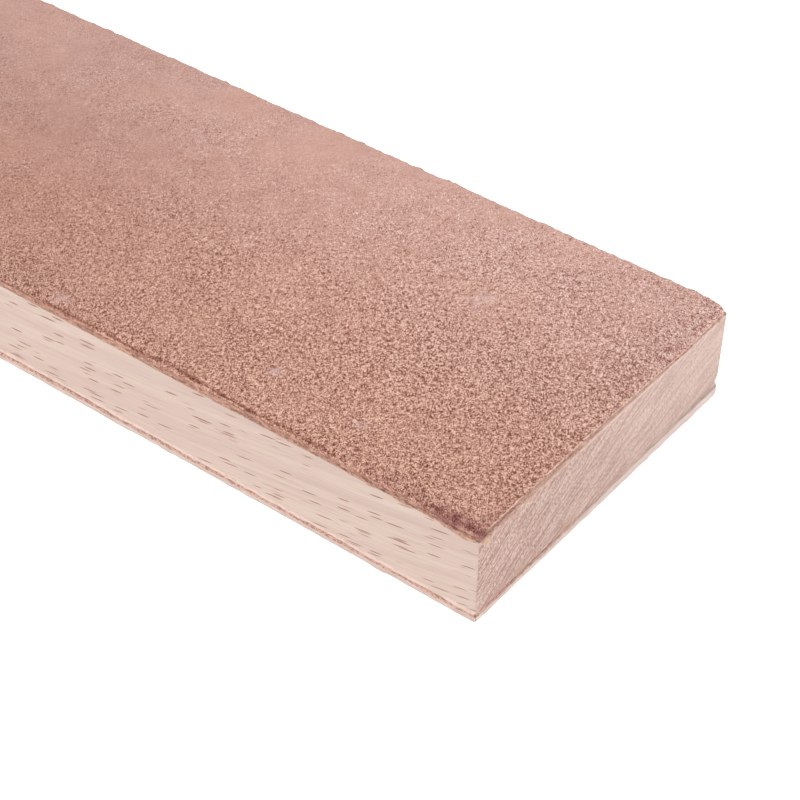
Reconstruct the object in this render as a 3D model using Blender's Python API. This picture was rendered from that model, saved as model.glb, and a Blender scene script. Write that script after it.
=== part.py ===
"""Double-sided bench strop: a beech block with a sheet of leather glued to each broad face.

The strop lies flat. Its length runs along X, its width along Y, and Z is up. The origin is at
the middle of the lower face, which the smooth leather makes. The upper face is the rough,
flesh side of the other sheet. The edges at -Y are crisp and those at +Y are softened.
"""

import bmesh
import bpy
from mathutils import Matrix

COLLECTION = "leather_strop"

# Driving dimensions, in metres.
LENGTH = 0.2032
WIDTH = 0.0762
WOOD_THICKNESS = 0.0160
LEATHER_THICKNESS = 0.0012
GLUE_THICKNESS = 0.0002
GAP = 0.0003

# Radii of the edges, in metres.
CRISP_EDGE = 0.0003
WOOD_FAR_CORNER = 0.0007
WOOD_FAR_LOWER_EDGE = 0.0024
LEATHER_FAR_CORNER = 0.0018
ROUGH_LEATHER_SHOULDER = 0.0007
SMOOTH_LEATHER_SHOULDER = 0.0003

# How far each sheet stays inside the outline of the block. At +Y the lower glue line ends where
# the block's rounded lower edge begins.
LEATHER_INSET = 0.0001
GLUE_INSET = 0.0003
LOWER_GLUE_FAR_INSET = WOOD_FAR_LOWER_EDGE + GLUE_INSET

EDGE_SEGMENTS = 6
SAME_PLACE = 1e-6

# The stack, from the lower face up.
BOND = GAP + GLUE_THICKNESS + GAP
SMOOTH_LEATHER_Z = 0.0
LOWER_GLUE_Z = SMOOTH_LEATHER_Z + LEATHER_THICKNESS + GAP
WOOD_Z = SMOOTH_LEATHER_Z + LEATHER_THICKNESS + BOND
UPPER_GLUE_Z = WOOD_Z + WOOD_THICKNESS + GAP
ROUGH_LEATHER_Z = WOOD_Z + WOOD_THICKNESS + BOND


def clear_scene():
    for obj in list(bpy.data.objects):
        bpy.data.objects.remove(obj)


def linear(channel):
    """One 0 to 255 sRGB channel as the linear value that a shader takes."""
    share = channel / 255
    if share <= 0.04045:
        return share / 12.92
    return ((share + 0.055) / 1.055) ** 2.4


def make_material(name, colour, roughness):
    material = bpy.data.materials.new(name)
    material.use_nodes = True
    shader = material.node_tree.nodes["Principled BSDF"]
    shader.inputs["Base Color"].default_value = [linear(c) for c in colour] + [1.0]
    shader.inputs["Roughness"].default_value = roughness
    shader.inputs["Metallic"].default_value = 0.0
    return material


def slab(thickness, inset, far_inset):
    """A rectangular slab in a new bmesh, with its lower face at Z 0.

    It stays by inset inside the plan of the block on three sides, and by far_inset at +Y.
    """
    shape = bmesh.new()
    size = Matrix.Diagonal((LENGTH - 2 * inset, WIDTH - inset - far_inset, thickness, 1.0))
    middle = Matrix.Translation((0.0, (inset - far_inset) / 2, thickness / 2))
    bmesh.ops.create_cube(shape, size=1.0, matrix=middle @ size)
    return shape


def edges_where(shape, test):
    """The edges whose two ends both pass the test, which takes a place."""
    return [edge for edge in shape.edges if all(test(vert.co) for vert in edge.verts)]


def corner_edges(shape, side):
    """The edges that climb at the ends, at -Y for side -1 and at +Y for side 1."""
    climbing = [e for e in shape.edges if abs(e.verts[0].co.z - e.verts[1].co.z) > SAME_PLACE]
    return [e for e in climbing if e.verts[0].co.y * side > 0]


def round_edges(shape, edges, radius):
    bmesh.ops.bevel(
        shape,
        geom=edges,
        offset=radius,
        offset_type="OFFSET",
        segments=EDGE_SEGMENTS,
        profile=0.5,
        affect="EDGES",
        clamp_overlap=True,
    )


def add_node(name, shape, height, material):
    """The shape as a named object at this height, with its own material."""
    mesh = bpy.data.meshes.new(name)
    bmesh.ops.recalc_face_normals(shape, faces=shape.faces)
    shape.to_mesh(mesh)
    shape.free()
    mesh.materials.append(material)
    mesh.shade_smooth()
    mesh.set_sharp_from_angle(angle=0.6)
    node = bpy.data.objects.new(name, mesh)
    node.location.z = height
    bpy.data.collections[COLLECTION].objects.link(node)
    return node


def wood_block():
    """The beech block: crisp at -Y, with its corners and its whole lower edge softened at +Y."""
    shape = slab(WOOD_THICKNESS, 0.0, 0.0)
    far = WIDTH / 2 - SAME_PLACE
    lower_far_edge = edges_where(shape, lambda co: co.z < SAME_PLACE and co.y > far)
    round_edges(shape, lower_far_edge, WOOD_FAR_LOWER_EDGE)
    round_edges(shape, corner_edges(shape, 1), WOOD_FAR_CORNER)
    round_edges(shape, corner_edges(shape, -1), CRISP_EDGE)
    material = make_material("beech", (221, 194, 182), 0.55)
    return add_node("wood_block", shape, WOOD_Z, material)


def sheet(thickness, inset, far_inset, far_corner):
    """A thin slab with nearly square corners at -Y and round ones at +Y."""
    shape = slab(thickness, inset, far_inset)
    round_edges(shape, corner_edges(shape, 1), far_corner)
    round_edges(shape, corner_edges(shape, -1), CRISP_EDGE)
    return shape


def round_shoulder(shape, height, radius):
    """Rounds the rim of the face at this height, except along its straight cut ends."""
    end = LENGTH / 2 - LEATHER_INSET - SAME_PLACE

    def on_rim(edge):
        level = all(abs(vert.co.z - height) < SAME_PLACE for vert in edge.verts)
        on_end = all(abs(vert.co.x) > end for vert in edge.verts)
        return level and not on_end

    round_edges(shape, [edge for edge in shape.edges if on_rim(edge)], radius)


def rough_leather():
    """The upper sheet, with its flesh side out and a worn shoulder along both sides."""
    shape = sheet(LEATHER_THICKNESS, LEATHER_INSET, LEATHER_INSET, LEATHER_FAR_CORNER)
    round_shoulder(shape, LEATHER_THICKNESS, ROUGH_LEATHER_SHOULDER)
    material = make_material("rough_leather", (185, 137, 120), 0.95)
    return add_node("rough_leather", shape, ROUGH_LEATHER_Z, material)


def smooth_leather():
    """The lower sheet, with its smooth grain side out."""
    shape = sheet(LEATHER_THICKNESS, LEATHER_INSET, LEATHER_INSET, LEATHER_FAR_CORNER)
    round_shoulder(shape, 0.0, SMOOTH_LEATHER_SHOULDER)
    material = make_material("smooth_leather", (216, 182, 163), 0.5)
    return add_node("smooth_leather", shape, SMOOTH_LEATHER_Z, material)


def glue_line(name, height, far_inset, far_corner):
    """The thin film of dried glue that holds one sheet to the block."""
    shape = sheet(GLUE_THICKNESS, GLUE_INSET, far_inset, far_corner)
    material = make_material(name, (190, 152, 132), 0.4)
    return add_node(name, shape, height, material)


def main():
    clear_scene()
    collection = bpy.data.collections.new(COLLECTION)
    bpy.context.scene.collection.children.link(collection)
    smooth_leather()
    glue_line("lower_glue_line", LOWER_GLUE_Z, LOWER_GLUE_FAR_INSET, CRISP_EDGE)
    wood_block()
    glue_line("upper_glue_line", UPPER_GLUE_Z, GLUE_INSET, LEATHER_FAR_CORNER)
    rough_leather()


main()
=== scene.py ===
"""The looks of a double-sided leather bench strop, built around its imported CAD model.

The beech block keeps its CAD shape and gets solid procedural wood. Both sheets of leather and
both glue lines are replaced by detailed meshes: a napped sheet with worn shoulders, a smooth
sheet, ragged lines of dried glue, and loose fibres along the cut edges.

X runs along the strop towards the end that faces the camera, Y across it and Z up. Lengths are
in metres, and MM turns millimetres into them.
"""

import math

import bpy
import numpy as np
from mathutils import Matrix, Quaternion, Vector


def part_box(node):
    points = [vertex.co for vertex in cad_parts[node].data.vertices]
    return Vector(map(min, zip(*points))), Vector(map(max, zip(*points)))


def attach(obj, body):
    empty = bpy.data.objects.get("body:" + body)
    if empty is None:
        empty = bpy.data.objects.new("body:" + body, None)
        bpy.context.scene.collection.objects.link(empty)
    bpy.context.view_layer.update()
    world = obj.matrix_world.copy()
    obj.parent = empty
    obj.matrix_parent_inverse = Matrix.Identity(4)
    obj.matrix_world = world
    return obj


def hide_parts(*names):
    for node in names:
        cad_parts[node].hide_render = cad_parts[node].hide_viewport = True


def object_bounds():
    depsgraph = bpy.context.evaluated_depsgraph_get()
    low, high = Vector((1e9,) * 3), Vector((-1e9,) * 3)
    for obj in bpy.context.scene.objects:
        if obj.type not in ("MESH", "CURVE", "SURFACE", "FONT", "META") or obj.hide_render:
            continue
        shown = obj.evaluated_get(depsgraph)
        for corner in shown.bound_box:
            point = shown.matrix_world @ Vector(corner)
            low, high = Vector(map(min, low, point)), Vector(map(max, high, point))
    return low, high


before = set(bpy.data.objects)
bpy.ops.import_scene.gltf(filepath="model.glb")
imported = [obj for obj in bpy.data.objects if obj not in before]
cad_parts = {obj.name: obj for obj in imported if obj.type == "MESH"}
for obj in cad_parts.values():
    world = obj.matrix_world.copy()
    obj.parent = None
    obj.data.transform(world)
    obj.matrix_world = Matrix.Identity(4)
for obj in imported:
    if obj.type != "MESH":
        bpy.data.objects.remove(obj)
cad_low, cad_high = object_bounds()

MM = 0.001
SEED = 20
BODY = "root"

HALF_LENGTH = cad_high.x
HALF_WIDTH = cad_high.y
TOP = cad_high.z
WOOD_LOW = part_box("wood_block")[0].z
WOOD_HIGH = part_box("wood_block")[1].z

# The camera, aimed at a point on the rough face near the end that shows.
AIM = Vector((HALF_LENGTH - 29.7 * MM, -HALF_WIDTH + 18.05 * MM, TOP))
CAMERA_AZIMUTH = 36.48
CAMERA_ELEVATION = 40.13
CAMERA_DISTANCE = 355.7 * MM
CAMERA_ROLL = 1.57
CAMERA_LENS = 95.1

# Spacing of the vertices over each sheet.
ROUGH_PITCH = 0.28 * MM
SMOOTH_PITCH = 0.9 * MM

# The nap: the cells that hold it, its curled fibres, the way they lie, and how high they stand.
NAP_CELL = 0.09 * MM
NAP_FIBRES = 230_000
NAP_LENGTHS = (0.4 * MM, 1.3 * MM)
NAP_WIDTH = 0.17 * MM
NAP_RELIEF = 0.26 * MM
BRUSHED = math.radians(126)

# The glued faces of the sheets, the radii of their shoulders, and of their corners in plan. The
# rough sheet is worn rounder at its far corners.
ROUGH_BASE = WOOD_HIGH + 0.2 * MM
SMOOTH_TOP = WOOD_LOW - 0.35 * MM
ROUGH_SHOULDER = 0.45 * MM
SMOOTH_SHOULDER = 0.15 * MM
NEAR_CORNER = 0.4 * MM
FAR_CORNER = 1.8 * MM
WORN_FAR_CORNER = 2.3 * MM

# How far in from each end the rough face is worn down, and by how much at the most.
WORN_LENGTH = 7 * MM
MOST_WORN = 1.5 * MM

# Pale chalky marks on the nap, in millimetres: from the end that shows, from -Y, and radius.
MARKS = ((35.5, 49.0, 2.0), (93.7, 2.8, 1.5), (31.2, 8.6, 1.3), (51.2, 10.9, 1.2))

# Loose fibres along the rough sheet's cut edge, with their lengths and radii in millimetres.
LOOSE_FIBRES = 420
LOOSE_LENGTHS = (0.3, 0.85)
LOOSE_RADII = (0.022, 0.042)

# The board in its log, in millimetres: the pith's place beyond the near side and below the
# underside, and the distance that a radian round the pith stands for.
PITH_OUT = 49.0
PITH_BELOW = 29.0
RAY_SPREAD = 85.0

# Ray flecks: the cells' height and depth in millimetres and, for each layer of them, its shift,
# its cells' length in millimetres, and the share of cells that stay empty.
FLECK_HEIGHT = 0.57
FLECK_DEPTH = 42.0
FLECK_LAYERS = ((0.0, 8.8, 0.41), (37.3, 6.4, 0.50))

# Tints that multiply a leather's colour: a painted sheen towards +Y, a darkening towards -X, burnish, a
# stain, and painted shade in the joint and under the arris.
PAINTED_SHEEN_TINT = (1.05, 1.21, 1.40, 1.0)
BROWNER = (0.72, 0.70, 0.72, 1.0)
BURNISHED = (0.45, 0.26, 0.23, 1.0)
STAINED = (0.47, 0.30, 0.35, 1.0)
JOINT_SHADE = (0.62, 0.53, 0.49, 1.0)
ARRIS_SHADE = (0.58, 0.48, 0.45, 1.0)


# ---------------------------------------------------------------- fields over the sheets


class Field:
    """Values on a square raster over the strop's plan, read between cells by at(x, y)."""

    MARGIN = 3 * MM

    def __init__(self, cell):
        self.cell = cell
        self.columns = int(2 * (HALF_LENGTH + self.MARGIN) / cell) + 2
        self.rows = int(2 * (HALF_WIDTH + self.MARGIN) / cell) + 2
        self.values = np.zeros((self.rows, self.columns))

    def place(self, x, y):
        column = (x + HALF_LENGTH + self.MARGIN) / self.cell
        row = (y + HALF_WIDTH + self.MARGIN) / self.cell
        return column, row

    def at(self, x, y):
        column, row = self.place(x, y)
        column = np.clip(column, 0, self.columns - 1.001)
        row = np.clip(row, 0, self.rows - 1.001)
        c, r = column.astype(int), row.astype(int)
        u, v = column - c, row - r
        below = self.values[r, c] * (1 - u) + self.values[r, c + 1] * u
        above = self.values[r + 1, c] * (1 - u) + self.values[r + 1, c + 1] * u
        return below * (1 - v) + above * v

    def band(self, finest, broadest=None):
        """Keeps the variation between these two sizes, with a Gaussian edge to the band."""
        u = np.fft.rfftfreq(self.columns)
        v = np.fft.fftfreq(self.rows)[:, None]
        squares = -2 * math.pi**2 * (u * u + v * v)
        response = np.exp(squares * (finest / self.cell) ** 2)
        if broadest:
            response = response - np.exp(squares * (broadest / self.cell) ** 2)
        self.values = np.fft.irfft2(np.fft.rfft2(self.values) * response, self.values.shape)

    def normalise(self):
        self.values = (self.values - self.values.mean()) / self.values.std()


def soft_noise(rng, feature):
    """A smooth random field of mean 0 and spread 1, whose blobs are about this size."""
    field = Field(max(feature / 5, 0.12 * MM))
    field.values = rng.standard_normal(field.values.shape)
    field.band(feature / 2.5)
    field.normalise()
    return field


def curled_fibres(rng, count, low_length, high_length, width):
    """The height of a mat of short curled fibres that lie over each other, from 0 to 1."""
    field = Field(NAP_CELL)
    x = rng.uniform(-HALF_LENGTH - 2 * MM, HALF_LENGTH + 2 * MM, count)
    y = rng.uniform(-HALF_WIDTH - 2 * MM, HALF_WIDTH + 2 * MM, count)
    heading = rng.normal(BRUSHED, 1.0, count)
    curl = rng.normal(0, 1 / (0.4 * MM), count)
    length = rng.uniform(low_length, high_length, count)
    layer = rng.beta(2.2, 1.6, count)
    step = NAP_CELL * 0.8
    for turn in range(int(high_length / step)):
        along = turn * step / length
        live = along < 1
        height = layer * np.sin(math.pi * np.clip(along, 0, 1)) ** 0.5
        column, row = field.place(x[live], y[live])
        c = np.clip(np.rint(column).astype(int), 0, field.columns - 1)
        r = np.clip(np.rint(row).astype(int), 0, field.rows - 1)
        np.maximum.at(field.values, (r, c), height[live])
        x = x + step * np.cos(heading)
        y = y + step * np.sin(heading)
        heading = heading + curl * step
    field.band(width / 2, 0.7 * MM)
    low, high = np.percentile(field.values, (0.5, 99.5))
    field.values = np.clip((field.values - low) / (high - low), 0, 1)
    return field


def smooth_step(value, low, high):
    share = np.clip((value - low) / (high - low), 0, 1)
    return share * share * (3 - 2 * share)


# ---------------------------------------------------------------- sheets as closed meshes


def rim_profile(thickness, shoulder, wall_rows, shoulder_rows):
    """(inset, height) of a sheet's edge, from its glued rim up its cut wall and over its shoulder."""
    wall = [(0.0, h) for h in np.linspace(0, thickness - shoulder, wall_rows, endpoint=False)]
    turns = np.linspace(0, math.pi / 2, shoulder_rows)
    arc = [(shoulder * (1 - math.cos(a)), thickness - shoulder * (1 - math.sin(a))) for a in turns]
    return np.array(wall + arc)


def stations(half, inset, pitch):
    """Evenly spaced places between the two flat-face borders of a sheet."""
    count = int(2 * (half - inset) / pitch) + 1
    return np.linspace(-half + inset, half - inset, count)


def round_corners(x, y, half_x, half_y, near_radius, far_radius):
    """Turns the square corners of nested rectangles into arcs: near at -Y and far at +Y."""
    for side_y, radius in ((-1, near_radius), (1, far_radius)):
        over_x = np.abs(x) - (half_x - radius)
        over_y = side_y * y - (half_y - radius)
        corner = (over_x > 0) & (over_y > 0)
        longest = np.maximum(over_x, over_y)
        pull = np.where(corner, longest / np.maximum(np.hypot(over_x, over_y), 1e-12), 1)
        x = np.where(corner, np.sign(x) * (half_x - radius + over_x * pull), x)
        y = np.where(corner, side_y * (half_y - radius + over_y * pull), y)
    return x, y


def sheet_grid(half_x, half_y, profile, pitch, far_radius, end_share=1.0):
    """A sheet's outer face and cut walls as one grid of nested rounded rectangles.

    Returns the grid of places and, for each, the row of the profile that it came from. The last
    row stands for the whole flat face. Along X the insets are scaled by end_share.
    """
    rim = len(profile) - 1
    levels, flat = [], []
    for half, share in ((half_x, end_share), (half_y, 1.0)):
        middle = stations(half, profile[-1, 0] * share, pitch)
        up, down = np.arange(rim), np.arange(rim - 1, -1, -1)
        levels.append(np.concatenate([up, np.full(len(middle), rim), down]))
        flat.append(np.concatenate([np.full(rim, -1.0), middle, np.full(rim, 1.0)]))
    level_x, level_y = np.meshgrid(*levels, indexing="ij")
    flat_x, flat_y = np.meshgrid(*flat, indexing="ij")
    level = np.minimum(level_x, level_y)

    def spread(own, flat_place, half, insets):
        share = (own - level) / np.maximum(rim - level, 1)
        edge = half - insets[level] - (insets[-1] - insets[level]) * share
        return np.where(own < rim, np.sign(flat_place) * edge, flat_place)

    x = spread(level_x, flat_x, half_x, profile[:, 0] * end_share)
    y = spread(level_y, flat_y, half_y, profile[:, 0])
    x, y = round_corners(x, y, half_x, half_y, NEAR_CORNER, far_radius)
    return np.stack([x, y, profile[level, 1]], axis=-1), level


def grid_normals(points):
    along = np.gradient(points, axis=0)
    across = np.gradient(points, axis=1)
    normal = np.cross(along, across)
    return normal / np.maximum(np.linalg.norm(normal, axis=-1, keepdims=True), 1e-15)


def new_piece(name, points, faces):
    mesh = bpy.data.meshes.new(name)
    mesh.from_pydata(points, [], faces)
    mesh.shade_smooth()
    piece = bpy.data.objects.new(name, mesh)
    bpy.context.scene.collection.objects.link(piece)
    return piece


def closed_sheet(name, points, attributes, upside_down=False):
    """A mesh of the grid, closed across its glued face by strips that run over its width."""
    columns, rows = points.shape[:2]
    index = np.arange(columns * rows).reshape(columns, rows)
    quads = np.stack([index[:-1, :-1], index[1:, :-1], index[1:, 1:], index[:-1, 1:]], axis=-1)
    quads = quads.reshape(-1, 4)
    strips = np.stack([index[:-1, 0], index[:-1, -1], index[1:, -1], index[1:, 0]], axis=-1)
    faces = quads.tolist() + strips.tolist()
    faces += [index[0, :].tolist(), index[-1, ::-1].tolist()]
    if upside_down:
        faces = [face[::-1] for face in faces]
    piece = new_piece(name, points.reshape(-1, 3), faces)
    for key, values in attributes.items():
        layer = piece.data.attributes.new(key, "FLOAT", "POINT")
        layer.data.foreach_set("value", np.ascontiguousarray(values, np.float32).ravel())
    return piece


def worn_end(x, y):
    """How far the rough face is worn down at its ends. It is deepest short of the far corner."""
    from_end = HALF_LENGTH - np.abs(x)
    across = (y + HALF_WIDTH) / (2 * HALF_WIDTH)
    depth = 0.42 * MM + 0.15 * MM * across + 1.0 * MM * smooth_step(across, 0.3, 0.95)
    depth = depth - 0.75 * MM * smooth_step(across, 0.86, 0.98)
    return np.minimum(depth * (1 - smooth_step(from_end, 0, WORN_LENGTH)) ** 1.6, MOST_WORN)


def nap_strength(rng, x, y):
    """How upright the nap stands: fully near the corner that shows, and rubbed down beyond."""
    away = (HALF_LENGTH - x) + 2.1 * (y + HALF_WIDTH)
    kept = np.exp(-((np.maximum(away - 61 * MM, 0) / (107 * MM)) ** 2))
    return 0.25 + 0.75 * kept + 0.05 * soft_noise(rng, 9 * MM).at(x, y)


def burnished_line(rng, x, y, height):
    """A dark line, rubbed along the shoulder at -Y, that wanders and fades in places."""
    climb = height + y + HALF_WIDTH
    from_end = HALF_LENGTH - x
    middle = 2.22 * MM - 0.72 * MM * smooth_step(from_end, 70 * MM, 115 * MM)
    middle = middle + 0.17 * MM * soft_noise(rng, 5 * MM).at(x, y)
    width = 0.33 * MM * (1 + 0.3 * soft_noise(rng, 3 * MM).at(x, y))
    strength = np.clip(0.95 + 0.3 * soft_noise(rng, 5 * MM).at(x, y), 0.2, 1.1)
    strength = strength * (0.42 + 0.58 * smooth_step(from_end, 20 * MM, 55 * MM))
    strength = strength * (1 - 0.45 * smooth_step(from_end, 70 * MM, 115 * MM))
    return strength * np.exp(-(((climb - middle) / width) ** 2))


def corner_stain(rng, x, y):
    """A mottled stain in the nap at the near corner of the end that shows."""
    from_end = (HALF_LENGTH - x) / MM
    from_side = (y + HALF_WIDTH) / MM
    pool = np.exp(-(((from_side - 0.6) / 1.8) ** 2)) * (1 - smooth_step(from_end, 5, 14))
    trail = np.exp(-(((from_side - 1.1) / 1.9) ** 2)) * (1 - smooth_step(from_end, 14, 44))
    wick = np.exp(-(((from_end - 0.8) / 1.2) ** 2)) * (1 - smooth_step(from_side, 3, 12))
    deepest = np.maximum(pool, np.maximum(0.36 * trail, 0.6 * wick))
    mottled = np.clip(0.72 + 0.36 * soft_noise(rng, 1.0 * MM).at(x, y), 0, 1.3)
    return np.clip(deepest * mottled, 0, 1)


def chalk_marks(rng, x, y):
    """The pale chalky marks, broken up so that they have no clear outline."""
    ragged = np.clip(0.6 + 0.55 * soft_noise(rng, 1.1 * MM).at(x, y), 0, 1.4)
    marks = np.zeros_like(x)
    for from_end, from_side, radius in MARKS:
        away_x = HALF_LENGTH - from_end * MM - x
        away_y = y + HALF_WIDTH - from_side * MM
        marks += np.exp(-(away_x**2 + away_y**2) / (radius * MM) ** 2)
    return np.clip(marks * ragged, 0, 1)


def make_rough_leather():
    """The napped upper sheet: a mat of curled fibres, rolled shoulders and fibrous cut walls."""
    rng = np.random.default_rng(SEED)
    thickness = TOP - ROUGH_BASE
    shoulder_rows = 6
    profile = rim_profile(thickness, ROUGH_SHOULDER, 9, shoulder_rows)
    rest, level = sheet_grid(
        HALF_LENGTH, HALF_WIDTH, profile, ROUGH_PITCH, WORN_FAR_CORNER, end_share=0.45
    )
    x, y, height = rest[..., 0], rest[..., 1], rest[..., 2]
    flat_row = len(profile) - 1
    on_top = smooth_step(level, flat_row - shoulder_rows + 1, flat_row)
    from_side = HALF_WIDTH - np.abs(y)

    roll = 0.32 * MM * (1 - smooth_step(from_side, 0, 1.8 * MM)) ** 2
    waves = soft_noise(rng, 14 * MM).at(x, y) * 0.03 * MM
    sag = worn_end(x, y) + roll - waves
    points = rest.copy()
    points[..., 2] = ROUGH_BASE + height * (1 - sag / thickness)

    nap = curled_fibres(rng, NAP_FIBRES, *NAP_LENGTHS, NAP_WIDTH)
    strength = nap_strength(rng, x, y)
    fibres = nap.at(x, y)
    nap_height = NAP_RELIEF * (fibres - 0.55) * np.sqrt(np.maximum(strength, 0))
    edge_fuzz = soft_noise(rng, 0.6 * MM).at(x + 3.1 * height, y + 2.7 * height)
    edge_waves = soft_noise(rng, 1.5 * MM).at(x + height, y - height)
    wall_rough = (0.07 * MM + 0.05 * MM * smooth_step(y, 0, HALF_WIDTH)) * edge_fuzz
    wall_rough = wall_rough + 0.07 * MM * edge_waves
    lift = on_top * nap_height + (1 - on_top) * wall_rough
    points += grid_normals(points) * lift[..., None]

    ragged = soft_noise(rng, 1.6 * MM).at(x, y)
    points[..., 2] -= (level == 0) * np.clip(ragged, 0, 1.5) * 0.09 * MM

    attributes = {
        "nap": fibres,
        "strength": strength,
        "cut": 1 - on_top,
        "rise": height / thickness,
        "burnish": burnished_line(rng, x, y, height),
        "stain": corner_stain(rng, x, y),
        "chalk": chalk_marks(rng, x, y),
    }
    return closed_sheet("rough_leather_sheet", points, attributes)


def make_smooth_leather():
    """The lower sheet, which is smooth outside and has a soft rounded rim."""
    rng = np.random.default_rng(SEED + 1)
    shoulder_rows = 6
    profile = rim_profile(SMOOTH_TOP, SMOOTH_SHOULDER, 8, shoulder_rows)
    rest, level = sheet_grid(HALF_LENGTH, HALF_WIDTH, profile, SMOOTH_PITCH, FAR_CORNER)
    x, y, height = rest[..., 0], rest[..., 1], rest[..., 2]
    flat_row = len(profile) - 1
    on_face = smooth_step(level, flat_row - shoulder_rows + 1, flat_row)
    points = rest.copy()
    swell = soft_noise(rng, 9 * MM).at(x, y) * 0.012 * MM
    waves = soft_noise(rng, 2.2 * MM).at(x + height, y - height) * 0.05 * MM
    fuzz = soft_noise(rng, 0.8 * MM).at(x + 2 * height, y - 2 * height) * 0.03 * MM
    points += grid_normals(points) * (on_face * swell + (1 - on_face) * (waves + fuzz))[..., None]
    across = (y + HALF_WIDTH) / (2 * HALF_WIDTH)
    points[..., 0] += 0.45 * MM * across * smooth_step(x, HALF_LENGTH - 4 * MM, HALF_LENGTH)
    wandering = smooth_step(HALF_LENGTH - x, 35 * MM, 130 * MM)
    points[..., 1] -= 0.22 * MM * wandering * smooth_step(-y, HALF_WIDTH - 4 * MM, HALF_WIDTH)
    points[..., 2] = SMOOTH_TOP - np.minimum(points[..., 2], SMOOTH_TOP)
    lifted = across * smooth_step(x, HALF_LENGTH - 3 * MM, HALF_LENGTH)
    points[..., 2] += 0.27 * MM * lifted * (1 - height / SMOOTH_TOP)
    attributes = {"cut": 1 - on_face, "rise": height / SMOOTH_TOP}
    return closed_sheet("smooth_leather_sheet", points, attributes, upside_down=True)


# ---------------------------------------------------------------- glue lines and loose fibres


def outline(low, high, near_radius, far_radius, step):
    """Places round a rectangle with rounded corners, and their outward directions.

    They run anticlockwise and start at the corner at +X and -Y.
    """
    corners = (
        (high.x, low.y, 1, -1, near_radius, -90),
        (high.x, high.y, 1, 1, far_radius, 0),
        (low.x, high.y, -1, 1, far_radius, 90),
        (low.x, low.y, -1, -1, near_radius, 180),
    )
    arcs = []
    for corner_x, corner_y, side_x, side_y, radius, start in corners:
        turns = np.radians(start + np.linspace(0, 90, max(4, int(radius * 1.57 / step))))
        facing = np.stack([np.cos(turns), np.sin(turns)], axis=-1)
        centre = np.array([corner_x - side_x * radius, corner_y - side_y * radius])
        arcs.append((centre + radius * facing, facing))
    places, outward = [], []
    for (arc, facing), (next_arc, _) in zip(arcs, arcs[1:] + arcs[:1]):
        places.extend(arc)
        outward.extend(facing)
        run = next_arc[0] - arc[-1]
        count = int(np.linalg.norm(run) / step)
        for share in np.arange(1, count) / count:
            places.append(arc[-1] + run * share)
            outward.append(facing[-1])
    return np.array(places), np.array(outward)


def ring_noise(rng, count, feature):
    """Smooth noise round a closed outline, of mean 0 and spread 1."""
    values = rng.standard_normal(count)
    frequency = np.fft.rfftfreq(count)
    response = np.exp(-2 * (math.pi * feature * frequency) ** 2)
    values = np.fft.irfft(np.fft.rfft(values) * response, count)
    return (values - values.mean()) / values.std()


def near_corner_share(places, along_end, along_side):
    """1 at the near corner of the end that shows, fading along the end and along the side."""
    from_end = HALF_LENGTH - places[:, 0]
    from_side = places[:, 1] + HALF_WIDTH
    return np.exp(-from_side / along_end - from_end / along_side)


def make_glue_line(name, node, low, high, far_radius, seed, corner_spill, swell_up, far_reach):
    """A film of dried glue whose rim swells into beads, thins, and draws back in places.

    Its rim starts at the outline of the CAD film. At +Y it goes on by far_reach and rises there,
    to fill the space under the wood's softened edge. At the near corner it spills down the wood.
    """
    rng = np.random.default_rng(seed)
    step = 0.2 * MM
    box_low, box_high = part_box(node)
    box_high.y += far_reach
    places, outward = outline(box_low, box_high, NEAR_CORNER, far_radius, step)
    count = len(places)
    fine, broad = ring_noise(rng, count, 2.5), ring_noise(rng, count, 8)
    beads = np.clip(0.75 * fine + 0.7 * broad, -1.8, 2.2)
    ragged = np.clip(1 + 0.14 * fine + 0.1 * broad, 0, None)
    drop = near_corner_share(places, 30 * MM, 3 * MM)
    trail = near_corner_share(places, 30 * MM, 30 * MM)
    spill = (drop + 0.26 * trail) * ragged * corner_spill
    to_face = HALF_LENGTH - box_high.x
    proud = to_face + 0.04 * MM + 0.06 * MM * beads + 0.06 * spill
    below = 0.05 * MM * np.clip(beads, 0, 4) + spill
    filling = smooth_step(places[:, 1], box_high.y - far_reach - 0.5 * MM, box_high.y)
    above = swell_up * np.clip(beads, 0, 4) + 0.36 * far_reach * filling

    rows = 9
    bulges = np.sin(np.linspace(0, math.pi, rows)) ** 0.2
    rings = []
    for share, bulge in zip(np.linspace(0, 1, rows), bulges):
        out = proud * bulge - 0.3 * MM * (1 - bulge)
        z = low - below + (high - low + below + above) * share
        rings.append(np.column_stack([places + outward * out[:, None], z]))
    index = np.arange(rows * count).reshape(rows, count)
    wrapped = np.roll(index, -1, axis=1)
    quads = np.stack([index[:-1], wrapped[:-1], wrapped[1:], index[1:]], axis=-1).reshape(-1, 4)
    faces = quads.tolist() + [index[0, ::-1].tolist(), index[-1].tolist()]
    return new_piece(name, np.concatenate(rings), faces)


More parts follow.
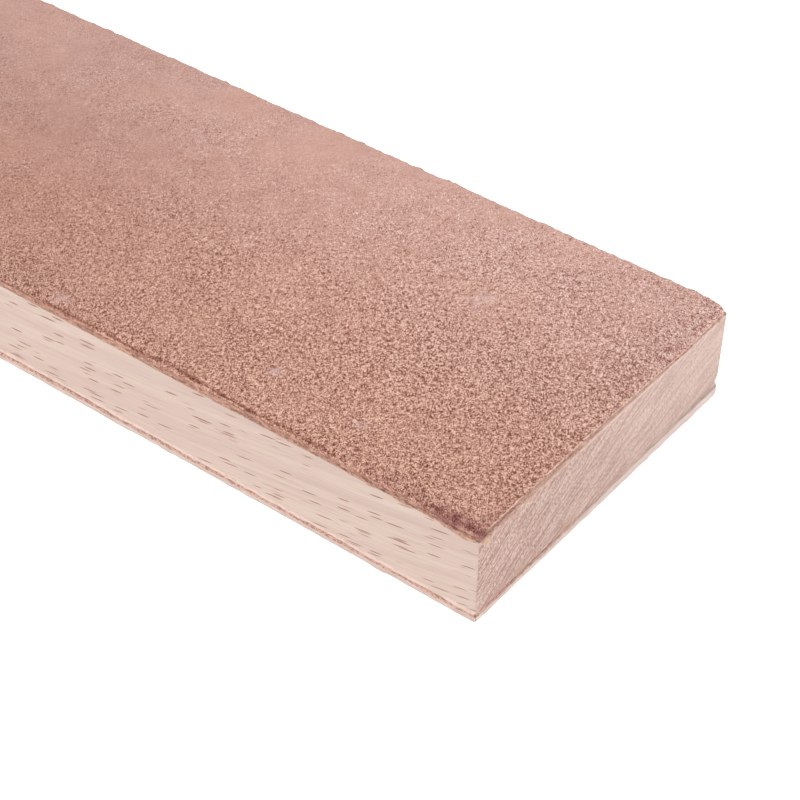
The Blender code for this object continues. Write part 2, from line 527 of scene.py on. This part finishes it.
def make_loose_fibres():
    """Fibres that stand out of the upper sheet's cut edge, as closed tapered tubes."""
    rng = np.random.default_rng(SEED + 4)
    rings, sides = 6, 4
    low = Vector((-HALF_LENGTH, -HALF_WIDTH, 0.0))
    places, outward = outline(low, -low, NEAR_CORNER, WORN_FAR_CORNER, 0.5 * MM)
    points, faces = [], []
    for start in rng.integers(0, len(places), LOOSE_FIBRES):
        out = Vector((*outward[start], 0.0))
        along = Vector((-out.y, out.x, 0.0))
        wear = worn_end(places[start, 0], places[start, 1])
        height = rng.uniform(0.1, 0.95) * (TOP - ROUGH_BASE - wear - 0.2 * MM)
        spot = Vector((*places[start], ROUGH_BASE + height)) - out * 0.12 * MM
        lean = rng.uniform(-1.3, 1.3)
        heading = (out * math.cos(lean) + along * math.sin(lean)).normalized()
        droop = rng.uniform(-0.5, 0.7)
        bend = rng.normal(0, 0.45)
        stride = rng.uniform(*LOOSE_LENGTHS) * MM / (rings - 1)
        thickest = rng.uniform(*LOOSE_RADII) * MM
        first = len(points)
        for ring in range(rings):
            side = heading.cross(Vector((0.0, 0.0, 1.0))).normalized()
            over = side.cross(heading)
            radius = thickest * (1 - 0.75 * ring / (rings - 1))
            for corner in range(sides):
                turn = 2 * math.pi * corner / sides
                points.append(spot + (side * math.cos(turn) + over * math.sin(turn)) * radius)
            spot = spot + heading * stride
            heading = (heading + side * bend + Vector((0.0, 0.0, droop * 0.4))).normalized()
        for ring in range(rings - 1):
            base = first + ring * sides
            for corner in range(sides):
                after = (corner + 1) % sides
                faces.append((base + corner, base + after, base + sides + after, base + sides + corner))
        last = first + (rings - 1) * sides
        faces.append(tuple(range(first + sides - 1, first - 1, -1)))
        faces.append(tuple(range(last, last + sides)))
    return new_piece("loose_fibres", points, faces)


# ---------------------------------------------------------------- node materials


def linear(colour):
    """0 to 255 sRGB channels as the linear RGBA that a shader takes."""
    shares = [channel / 255 for channel in colour]
    curve = [s / 12.92 if s <= 0.04045 else ((s + 0.055) / 1.055) ** 2.4 for s in shares]
    return (*curve, 1.0)


class Shader:
    """A Principled material under construction. Each method adds a node and returns its output."""

    def __init__(self, name, roughness):
        self.material = bpy.data.materials.new(name)
        self.material.use_nodes = True
        self.tree = self.material.node_tree
        self.surface = self.tree.nodes["Principled BSDF"]
        self.surface.inputs["Roughness"].default_value = roughness

    def add(self, kind, inputs, **settings):
        node = self.tree.nodes.new("ShaderNode" + kind)
        for key, value in settings.items():
            setattr(node, key, value)
        for key, value in inputs.items():
            if isinstance(value, bpy.types.NodeSocket):
                self.tree.links.new(value, node.inputs[key])
            else:
                node.inputs[key].default_value = value
        return node

    def set(self, key, value):
        if isinstance(value, bpy.types.NodeSocket):
            self.tree.links.new(value, self.surface.inputs[key])
        else:
            self.surface.inputs[key].default_value = value

    def place(self):
        """The place on the strop in millimetres."""
        metres = self.add("TexCoord", {}).outputs["Object"]
        scaled = self.add("VectorMath", {0: metres, "Scale": 1000.0}, operation="SCALE")
        return scaled.outputs[0]

    def split(self, vector):
        return self.add("SeparateXYZ", {0: vector}).outputs

    def join(self, x, y, z):
        return self.add("CombineXYZ", {0: x, 1: y, 2: z}).outputs[0]

    def maths(self, operation, first, second=0.0, third=0.0):
        inputs = {0: first, 1: second, 2: third}
        return self.add("Math", inputs, operation=operation).outputs[0]

    def times(self, product, *others):
        """The product of numbers and outputs."""
        for other in others:
            product = self.maths("MULTIPLY", product, other)
        return product

    def rest_of(self, share):
        """1 minus a share."""
        return self.maths("SUBTRACT", 1.0, share)

    def on_end(self):
        """1 on the faces that look along X, and 0 on the sides and the broad faces."""
        normal = self.split(self.add("NewGeometry", {}).outputs["Normal"])[0]
        return self.ramp(self.maths("ABSOLUTE", normal), 0.5, 0.9)

    def stretch(self, vector, x, y, z):
        node = self.add("VectorMath", {0: vector, 1: (x, y, z)}, operation="MULTIPLY")
        return node.outputs[0]

    def noise(self, vector, scale, detail=2.0, rough=0.5, warp=0.0):
        inputs = {"Vector": vector, "Scale": scale, "Detail": detail, "Roughness": rough}
        inputs["Distortion"] = warp
        return self.add("TexNoise", inputs).outputs[0]

    def ramp(self, value, low, high, to_low=0.0, to_high=1.0):
        inputs = {0: value, 1: low, 2: high, 3: to_low, 4: to_high}
        return self.add("MapRange", inputs, interpolation_type="SMOOTHSTEP").outputs[0]

    def mix(self, share, first, second, blend="MIX"):
        inputs = {0: share, 6: first, 7: second}
        node = self.add("Mix", inputs, data_type="RGBA", blend_type=blend)
        return node.outputs[2]

    def attribute(self, name):
        return self.add("Attribute", {}, attribute_name=name).outputs["Fac"]

    def bump(self, height, distance, strength=1.0, under=None):
        inputs = {"Height": height, "Distance": distance, "Strength": strength}
        if under is not None:
            inputs["Normal"] = under
        return self.add("Bump", inputs).outputs[0]


def beech_grain(wood, x, y, z):
    """Coordinates in the wood: along the grain, out from the pith, and round the pith, in mm."""
    # The grain leaves the edge more and more towards the end that shows.
    from_end = wood.maths("SUBTRACT", x, HALF_LENGTH / MM)
    slope = wood.maths("MULTIPLY_ADD", from_end, 0.000636, 0.21)
    level = wood.maths("SUBTRACT", z, wood.times(from_end, slope))
    from_pith_y = wood.maths("ADD", y, HALF_WIDTH / MM + PITH_OUT)
    from_pith_z = wood.maths("ADD", level, PITH_BELOW)
    angle = wood.maths("ARCTAN2", from_pith_z, from_pith_y)
    squares = wood.times(from_pith_z, from_pith_z)
    radius = wood.maths("SQRT", wood.maths("MULTIPLY_ADD", from_pith_y, from_pith_y, squares))
    waviness = wood.noise(wood.stretch(wood.join(x, y, z), 0.03, 0.05, 0.05), 1.0, 1.0)
    round_pith = wood.maths("MULTIPLY_ADD", angle, RAY_SPREAD, waviness)
    return wood.join(x, radius, round_pith)


def ray_flecks(wood, grain):
    """Thin dark lenses along the grain, where the rays are cut on the sides of the board."""
    flecks = None
    for shift, length, empty in FLECK_LAYERS:
        scaled = wood.stretch(grain, 1 / length, 1 / FLECK_DEPTH, 1 / FLECK_HEIGHT)
        moved = wood.add("VectorMath", {0: scaled, 1: (shift, shift, shift)}, operation="ADD")
        cells = wood.add("TexVoronoi", {"Vector": moved.outputs[0], "Scale": 1.0, "Randomness": 1.0})
        chance = wood.split(cells.outputs["Color"])[0]
        body = wood.ramp(cells.outputs["Distance"], 0.15, 0.28, 1.0, 0.0)
        layer = wood.times(body, wood.ramp(chance, empty, empty + 0.22))
        flecks = layer if flecks is None else wood.maths("MAXIMUM", flecks, layer)
    return flecks


def side_grain_colour(wood, grain, rings, fine):
    """Pale pinkish wood with growth rings, soft streaks and fine fibre lines."""
    streaks = wood.noise(wood.stretch(grain, 0.035, 1.1, 1.1), 1.0, 3.0, 0.65)
    colour = wood.mix(wood.ramp(rings, 0.3, 0.7), linear((197, 178, 165)), linear((188, 165, 154)))
    colour = wood.mix(wood.ramp(streaks, 0.4, 0.7, 0.0, 0.5), colour, linear((180, 152, 142)))
    return wood.mix(wood.ramp(fine, 0.48, 0.7, 0.0, 0.45), colour, linear((174, 148, 136)))


def end_grain_colour(wood, grain, rings, pores, y):
    """Darker, redder wood, crowded with pores between fine rays, and paler towards +Y, a painted light.
    """
    rays = wood.noise(wood.stretch(grain, 0.01, 0.11, 1.7), 1.0, 2.0, 0.6)
    colour = wood.mix(wood.ramp(rays, 0.4, 0.6), linear((210, 181, 170)), linear((160, 121, 107)))
    colour = wood.mix(wood.ramp(pores, 0.46, 0.66, 0.0, 0.9), colour, linear((136, 98, 86)))
    colour = wood.mix(wood.ramp(pores, 0.5, 0.32, 0.0, 0.7), colour, linear((222, 198, 188)))
    colour = wood.mix(wood.ramp(rings, 0.4, 0.75, 0.0, 0.2), colour, linear((168, 132, 120)))
    # Painted light: the end grain is paler towards +Y.
    return wood.mix(wood.ramp(y, -34.0, 34.0, 0.0, 0.55), colour, linear((208, 181, 170)))


def worn_wood_colour(wood, colour, place, on_end):
    """Adds a paler band along the lower arris of the sides, a painted highlight along the top arris of
    the ends, and leather dust rubbed into the ends below.
    """
    _, y, z = wood.split(place)
    # A paler band low on the sides, along the lower arris.
    pale_lower_band = wood.times(
        wood.ramp(z, WOOD_LOW / MM + 0.15, WOOD_LOW / MM + 0.6, 1.0, 0.0),
        wood.ramp(wood.noise(place, 0.9, 3.0), 0.3, 0.55),
        wood.rest_of(on_end),
        0.85,
    )
    colour = wood.mix(pale_lower_band, colour, linear((211, 189, 178)))
    # Painted highlight along the top arris of the ends.
    top_arris_highlight = wood.times(
        wood.ramp(z, WOOD_HIGH / MM - 0.8, WOOD_HIGH / MM - 0.4),
        wood.ramp(wood.maths("ABSOLUTE", y), 0.0, 36.0, 0.55, 0.3),
        on_end,
    )
    colour = wood.mix(top_arris_highlight, colour, linear((224, 196, 184)))
    dust = wood.times(
        wood.ramp(z, WOOD_LOW / MM + 0.2, WOOD_LOW / MM + 3.2, 1.0, 0.0),
        wood.ramp(wood.noise(wood.stretch(place, 0.16, 0.16, 0.5), 1.0, 3.0), 0.42, 0.62),
        on_end,
        wood.ramp(y, -28.0, 12.0, 0.5, 0.04),
    )
    return wood.mix(dust, colour, linear((184, 139, 122)))


def beech_material():
    """Steamed beech as a solid: rays fan out from the pith, flecks on the sides, pores on the ends."""
    wood = Shader("beech", 0.6)
    place = wood.place()
    x, y, z = wood.split(place)
    grain = beech_grain(wood, x, y, z)
    on_end = wood.on_end()
    rings = wood.noise(wood.stretch(grain, 0.004, 0.42, 0.02), 1.0, 3.0, 0.6)
    fine = wood.noise(wood.stretch(grain, 0.11, 3.6, 3.6), 1.0, 2.0, 0.6)
    pores = wood.noise(wood.stretch(grain, 0.02, 1.9, 2.6), 1.0, 3.0, 0.7)
    flecks = wood.times(ray_flecks(wood, grain), wood.rest_of(on_end))

    sides = wood.mix(flecks, side_grain_colour(wood, grain, rings, fine), linear((146, 106, 88)))
    colour = wood.mix(on_end, sides, end_grain_colour(wood, grain, rings, pores, y))
    wood.set("Base Color", worn_wood_colour(wood, colour, place, on_end))
    height = wood.maths("MULTIPLY_ADD", flecks, -0.6, fine)
    height = wood.maths("MULTIPLY_ADD", wood.times(pores, on_end), 1.4, height)
    wood.set("Normal", wood.bump(height, 0.05 * MM, 0.6))
    wood.set("Roughness", wood.ramp(fine, 0.2, 0.8, 0.52, 0.68))
    return wood.material


def along_the_edge(hide, place, on_end):
    """Noise drawn out along whichever cut edge it is on, 0 to 1: the layers of the sheet."""
    side_layers = hide.noise(hide.stretch(place, 0.3, 2.6, 2.6), 1.0, 3.0, 0.6)
    end_layers = hide.noise(hide.stretch(place, 2.6, 0.3, 2.6), 1.0, 3.0, 0.6)
    difference = hide.maths("SUBTRACT", end_layers, side_layers)
    return hide.maths("MULTIPLY_ADD", difference, on_end, side_layers)


def nap_height(hide, place):
    """Height of the nap about its middle, from the mesh and from two sizes of finer curls."""
    x, y, z = hide.split(place)
    along = hide.maths("MULTIPLY_ADD", x, math.cos(BRUSHED), hide.times(y, math.sin(BRUSHED)))
    across = hide.maths("MULTIPLY_ADD", x, math.sin(BRUSHED), hide.times(y, -math.cos(BRUSHED)))
    brushed = hide.join(hide.times(along, 0.7), across, z)
    curls = hide.noise(brushed, 2.8, 1.0, 0.5, warp=0.8)
    specks = hide.noise(brushed, 5.6, 1.0, 0.5, warp=0.4)
    height = hide.maths("MULTIPLY_ADD", hide.attribute("nap"), 0.5, -0.25)
    height = hide.maths("MULTIPLY_ADD", hide.maths("SUBTRACT", curls, 0.5), 1.2, height)
    return hide.maths("MULTIPLY_ADD", hide.maths("SUBTRACT", specks, 0.5), 1.7, height)


def nap_colour(hide, place, relief):
    """Fibres over pits, paler where they stand higher: partly the nap's own colour, partly painted
    shade in the pits and painted light on the fibre tops. Pinker and paler towards +Y, a painted sheen,
    and browner towards -X.
    """
    x, y, _ = hide.split(place)
    # The height sets the tone: partly the nap's own colour, partly painted shade in the pits and
    # painted light on the fibre tops.
    tone = hide.maths("MULTIPLY_ADD", relief, 1.98, 0.32)
    tone = hide.maths("MULTIPLY_ADD", hide.noise(place, 0.24, 3.0, 0.55), 0.38, tone)
    colour = hide.mix(hide.ramp(tone, -0.1, 0.5), linear((106, 38, 20)), linear((186, 136, 116)))
    colour = hide.mix(hide.ramp(tone, 0.5, 1.1), colour, linear((233, 191, 172)))
    # Painted sheen: the nap is pinker and paler towards +Y.
    colour = hide.mix(hide.ramp(y, -30.0, 36.0), colour, PAINTED_SHEEN_TINT, blend="MULTIPLY")
    # Darker towards -X, and less so towards +Y.
    darker_towards_minus_x = hide.times(hide.ramp(x, 70.0, -60.0), hide.ramp(y, 0.0, 30.0, 1.0, 0.65))
    colour = hide.mix(darker_towards_minus_x, colour, BROWNER, blend="MULTIPLY")
    cloud = hide.noise(place, 0.05, 2.0)
    colour = hide.mix(hide.ramp(cloud, 0.45, 0.7, 0.0, 0.14), colour, linear((206, 160, 140)))
    return hide.mix(hide.times(hide.attribute("chalk"), 0.6), colour, linear((208, 176, 174)))


def cut_wall_colour(hide, place, height, rise):
    """Tan layers of fibre in the cut walls: darker on the sides, and on the ends paler towards +Y, a
    painted light over the shade there.
    """
    x, y, _ = hide.split(place)
    on_end = hide.on_end()
    layers = hide.maths("MULTIPLY_ADD", height, 0.22, along_the_edge(hide, place, on_end))
    layers = hide.ramp(layers, 0.3, 0.7)
    side = hide.mix(layers, linear((132, 85, 69)), linear((208, 162, 140)))
    end = hide.mix(layers, linear((170, 128, 110)), linear((214, 177, 159)))
    # Painted light: the end walls are paler towards +Y, over the shade there.
    end = hide.mix(hide.ramp(y, -10.0, 36.0, 0.0, 0.65), end, linear((224, 190, 174)))
    # Broken dark lines of painted shade: low on the sides, in the gap over the glue, and high on the
    # ends, under the arris.
    painted_gap_shade = hide.times(
        hide.ramp(rise, 0.02, 0.1),
        hide.ramp(rise, 0.15, 0.28, 1.0, 0.0),
        hide.ramp(hide.noise(place, 0.7, 3.0, 0.6), 0.46, 0.58),
        hide.ramp(x, 0.0, 70.0),
    )
    side = hide.mix(painted_gap_shade, side, JOINT_SHADE, blend="MULTIPLY")
    shade = hide.times(
        hide.ramp(rise, 0.4, 0.6),
        hide.ramp(rise, 0.76, 0.9, 1.0, 0.0),
        hide.ramp(hide.noise(place, 0.8, 3.0, 0.6), 0.44, 0.56),
        hide.ramp(y, -20.0, 10.0, 0.9, 0.1),
    )
    end = hide.mix(shade, end, ARRIS_SHADE, blend="MULTIPLY")
    return hide.mix(on_end, side, end)


def end_arris_highlight(hide, place, rise):
    """How much painted highlight shows along the arris on the ends. It is broken, and fades at the near
    corner.
    """
    x, y, _ = hide.split(place)
    return hide.times(
        hide.ramp(hide.maths("ABSOLUTE", x), HALF_LENGTH / MM - 0.26, HALF_LENGTH / MM - 0.1),
        hide.ramp(rise, 0.86, 0.97),
        hide.ramp(hide.noise(place, 0.8, 2.0), 0.3, 0.5),
        hide.ramp(y, -HALF_WIDTH / MM + 1.0, -HALF_WIDTH / MM + 4.0),
        0.9,
    )


def rough_leather_material():
    """Flesh-side leather: a matt nap, burnished and stained at its edges, with tan cut walls."""
    hide = Shader("rough_leather_nap", 0.95)
    place = hide.place()
    rise = hide.attribute("rise")
    height = nap_height(hide, place)
    relief = hide.times(height, hide.attribute("strength"))

    # The burnished shoulder and the stain darken the nap and the walls, and the stain is bluer.
    burnish = hide.attribute("burnish")
    stain = hide.attribute("stain")
    colour = hide.mix(burnish, nap_colour(hide, place, relief), BURNISHED, blend="MULTIPLY")
    colour = hide.mix(stain, colour, STAINED, blend="MULTIPLY")
    wall = cut_wall_colour(hide, place, height, rise)
    wall = hide.mix(burnish, wall, BURNISHED, blend="MULTIPLY")
    wall = hide.mix(hide.times(stain, 0.8), wall, STAINED, blend="MULTIPLY")
    frayed = hide.maths("MULTIPLY_ADD", height, -0.5, hide.attribute("cut"))
    colour = hide.mix(hide.ramp(frayed, 0.4, 0.9), colour, wall)
    # A painted highlight along the arris on the ends.
    colour = hide.mix(end_arris_highlight(hide, place, rise), colour, linear((240, 197, 181)))

    hide.set("Base Color", colour)
    hide.set("Sheen Weight", 0.25)
    hide.set("Sheen Roughness", 0.6)
    hide.set("Sheen Tint", linear((240, 214, 204)))
    hide.set("Specular IOR Level", 0.25)
    hide.set("Normal", hide.bump(relief, 0.16 * MM, 0.9))
    return hide.material


def smooth_leather_material():
    """Natural grain-side leather: pale, with pores, faint creases and a browner glued margin."""
    hide = Shader("smooth_leather_grain", 0.48)
    place = hide.place()
    x, y, _ = hide.split(place)
    cut = hide.attribute("cut")
    pebbles = hide.add("TexVoronoi", {"Vector": place, "Scale": 1.9, "Randomness": 1.0})
    pores = hide.noise(place, 2.6, 3.0, 0.6)
    creases = hide.noise(hide.stretch(place, 0.05, 0.4, 0.4), 1.0, 3.0, 0.6)
    cloud = hide.noise(place, 0.06, 4.0)
    colour = hide.mix(hide.ramp(cloud, 0.25, 0.75), linear((213, 178, 154)), linear((203, 166, 142)))
    colour = hide.mix(hide.ramp(creases, 0.5, 0.8, 0.0, 0.3), colour, linear((186, 144, 118)))
    colour = hide.mix(hide.ramp(pores, 0.55, 0.75, 0.0, 0.25), colour, linear((176, 134, 108)))

    # The cut walls are pale, and palest on the ends.
    layers = hide.ramp(along_the_edge(hide, place, hide.on_end()), 0.3, 0.7)
    at_end = hide.ramp(hide.maths("ABSOLUTE", x), HALF_LENGTH / MM - 0.5, HALF_LENGTH / MM - 0.2)
    side_wall = hide.mix(layers, linear((196, 177, 169)), linear((178, 154, 143)))
    end_wall = hide.mix(layers, linear((222, 204, 196)), linear((200, 178, 169)))
    colour = hide.mix(hide.ramp(cut, 0.2, 0.8), colour, hide.mix(at_end, side_wall, end_wall))

    # Crumbs of glue over the upper half of the walls, but not on the ends towards +Y.
    depth = hide.maths("MULTIPLY_ADD", hide.noise(place, 0.9, 3.0), 0.3, hide.attribute("rise"))
    clean_end = hide.times(at_end, hide.ramp(y, -26.0, 10.0, 0.05, 1.0))
    glued = hide.times(hide.ramp(depth, 0.46, 0.62, 1.0, 0.0), cut, hide.rest_of(clean_end))
    crumbs = hide.ramp(hide.noise(place, 2.0, 3.0, 0.65), 0.42, 0.6)
    crumbly = hide.mix(crumbs, linear((192, 154, 138)), linear((142, 100, 84)))
    hide.set("Base Color", hide.mix(glued, colour, crumbly))
    grain = hide.maths("MULTIPLY_ADD", pebbles.outputs["Distance"], -0.8, pores)
    hide.set("Normal", hide.bump(grain, 0.06 * MM, 0.5))
    hide.set("Roughness", hide.ramp(pores, 0.3, 0.7, 0.42, 0.58))
    return hide.material


def fibre_material():
    """Loose leather fibres, each a little paler or browner than the next."""
    fibre = Shader("loose_leather_fibre", 0.8)
    shade = fibre.noise(fibre.place(), 0.7, 1.0)
    colour = fibre.mix(fibre.ramp(shade, 0.35, 0.65), linear((150, 104, 88)), linear((206, 164, 146)))
    fibre.set("Base Color", colour)
    return fibre.material


def glue_material(name, pale, deep, grit_colour, amber, painted_light_colour, near_painted_light, painted_light_y, faded_from):
    """Dried glue with leather dust in it, and amber where it is thick at the near corner.

    On the ends it is lightened towards the colour faded, between the two places in painted_light_y and
    from
    the share near_painted_light: painted light over the shade in the crease there. On the sides it
    turns to the wood's colour above the height faded_from.
    """
    glue = Shader(name, 0.4)
    place = glue.place()
    x, y, z = glue.split(place)
    lumps = glue.noise(place, 1.1, 3.0, 0.6)
    grit = glue.noise(place, 2.1, 3.0, 0.65)
    colour = glue.mix(glue.ramp(lumps, 0.35, 0.65), linear(pale), linear(deep))
    # Painted light: on the ends the glue is lightened towards +Y, over the shade in the crease.
    ends = glue.ramp(glue.maths("ABSOLUTE", x), HALF_LENGTH / MM - 0.4, HALF_LENGTH / MM - 0.2)
    painted_light_share = glue.times(glue.ramp(y, *painted_light_y, near_painted_light, 0.9), ends)
    colour = glue.mix(painted_light_share, colour, linear(painted_light_colour))
    corner = (HALF_LENGTH / MM, -HALF_WIDTH / MM, WOOD_HIGH / MM)
    away = glue.add("VectorMath", {0: place, 1: corner}, operation="DISTANCE").outputs["Value"]
    clear = glue.ramp(glue.maths("MULTIPLY_ADD", lumps, 3.0, away), 2.4, 5.0, amber, 0.0)
    colour = glue.mix(clear, colour, linear((196, 152, 118)))
    gritty = glue.times(glue.ramp(grit, 0.56, 0.68, 0.0, 0.85), glue.rest_of(painted_light_share))
    colour = glue.mix(gritty, colour, linear(grit_colour))
    ragged = glue.maths("MULTIPLY_ADD", grit, 0.3, z)
    upper = glue.ramp(ragged, faded_from + 0.15, faded_from + 0.33)
    colour = glue.mix(glue.times(upper, glue.rest_of(ends)), colour, linear((206, 182, 171)))
    glue.set("Base Color", colour)
    glue.set("Normal", glue.bump(grit, 0.08 * MM, 0.7))
    glue.set("Roughness", glue.ramp(lumps, 0.3, 0.7, 0.3, 0.65))
    return glue.material


# ---------------------------------------------------------------- camera, floor and light


def make_camera():
    azimuth, elevation = math.radians(CAMERA_AZIMUTH), math.radians(CAMERA_ELEVATION)
    level = math.cos(elevation)
    back = Vector((math.sin(azimuth) * level, -math.cos(azimuth) * level, math.sin(elevation)))
    data = bpy.data.cameras.new("camera")
    data.lens = CAMERA_LENS
    data.sensor_width = 36.0
    data.clip_start = 0.01
    camera = bpy.data.objects.new("camera", data)
    camera.location = AIM + back * CAMERA_DISTANCE
    camera.rotation_mode = "QUATERNION"
    turn = Quaternion((0.0, 0.0, 1.0), math.radians(CAMERA_ROLL))
    camera.rotation_quaternion = (-back).to_track_quat("-Z", "Y") @ turn
    bpy.context.scene.collection.objects.link(camera)
    bpy.context.scene.camera = camera


def make_floor():
    """A white plane just under the strop, glowing a little as a light table does."""
    half = 6.0
    mesh = bpy.data.meshes.new("floor")
    corners = [(-half, -half, 0), (half, -half, 0), (half, half, 0), (-half, half, 0)]
    mesh.from_pydata(corners, [], [(0, 1, 2, 3)])
    floor = bpy.data.objects.new("floor", mesh)
    floor.location.z = cad_low.z - 0.05 * MM
    table = Shader("white_table", 0.9)
    table.set("Base Color", (0.9, 0.9, 0.9, 1.0))
    table.set("Emission Color", (1.0, 1.0, 1.0, 1.0))
    table.set("Emission Strength", 0.45)
    mesh.materials.append(table.material)
    bpy.context.scene.collection.objects.link(floor)


def make_light(name, azimuth, elevation, distance, size, power):
    """A square soft box that faces the strop. Azimuth 0 is at -Y and 90 at +X."""
    turn, rise = math.radians(azimuth), math.radians(elevation)
    level = math.cos(rise)
    away = Vector((math.sin(turn) * level, -math.cos(turn) * level, math.sin(rise)))
    data = bpy.data.lights.new(name, "AREA")
    data.size = size
    data.energy = power
    lamp = bpy.data.objects.new(name, data)
    lamp.location = away * distance
    lamp.rotation_mode = "QUATERNION"
    lamp.rotation_quaternion = away.to_track_quat("Z", "Y")
    bpy.context.scene.collection.objects.link(lamp)


def make_studio():
    scene = bpy.context.scene
    scene.view_settings.view_transform = "Standard"
    world = bpy.data.worlds.new("white_room")
    world.use_nodes = True
    sky = world.node_tree.nodes["Background"]
    sky.inputs["Color"].default_value = (1.0, 1.0, 1.0, 1.0)
    sky.inputs["Strength"].default_value = 0.75
    scene.world = world
    make_light("key", azimuth=-50, elevation=50, distance=1.2, size=0.7, power=9.0)
    make_light("fill", azimuth=75, elevation=35, distance=1.3, size=0.9, power=3.0)


# ---------------------------------------------------------------- the strop


def settle(piece, material, node=None):
    """Gives a new piece its material and its body, and hides the CAD part that it replaces, if one is
    given.
    """
    piece.data.materials.append(material)
    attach(piece, BODY)
    if node:
        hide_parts(node)


def finish_wood():
    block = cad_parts["wood_block"]
    material = beech_material()
    for socket in block.material_slots:
        socket.material = material


def glue_the_sheets():
    upper = make_glue_line(
        "upper_glue_bead", "upper_glue_line", WOOD_HIGH, WOOD_HIGH + 0.36 * MM,
        far_radius=FAR_CORNER, seed=SEED + 2, corner_spill=1.35 * MM, swell_up=0.05 * MM,
        far_reach=0.0,
    )
    tan = glue_material(
        "tan_glue", pale=(188, 144, 124), deep=(156, 112, 94), grit_colour=(108, 64, 48),
        amber=0.7, painted_light_colour=(208, 176, 164), near_painted_light=0.35, painted_light_y=(-36.0, 6.0),
        faded_from=100.0,
    )
    settle(upper, tan, "upper_glue_line")
    lower = make_glue_line(
        "lower_glue_bead", "lower_glue_line", SMOOTH_TOP - 0.25 * MM, WOOD_LOW + 0.2 * MM,
        far_radius=NEAR_CORNER, seed=SEED + 3, corner_spill=0.05 * MM, swell_up=0.0,
        far_reach=1.7 * MM,
    )
    brown = glue_material(
        "brown_glue", pale=(200, 162, 146), deep=(168, 124, 106), grit_colour=(124, 78, 60),
        amber=0.0, painted_light_colour=(214, 189, 178), near_painted_light=0.0, painted_light_y=(-24.0, 16.0),
        faded_from=1.7,
    )
    settle(lower, brown, "lower_glue_line")


def main():
    make_camera()
    make_floor()
    make_studio()
    finish_wood()
    nap = rough_leather_material()
    settle(make_rough_leather(), nap, "rough_leather")
    settle(make_smooth_leather(), smooth_leather_material(), "smooth_leather")
    glue_the_sheets()
    settle(make_loose_fibres(), fibre_material())


main()
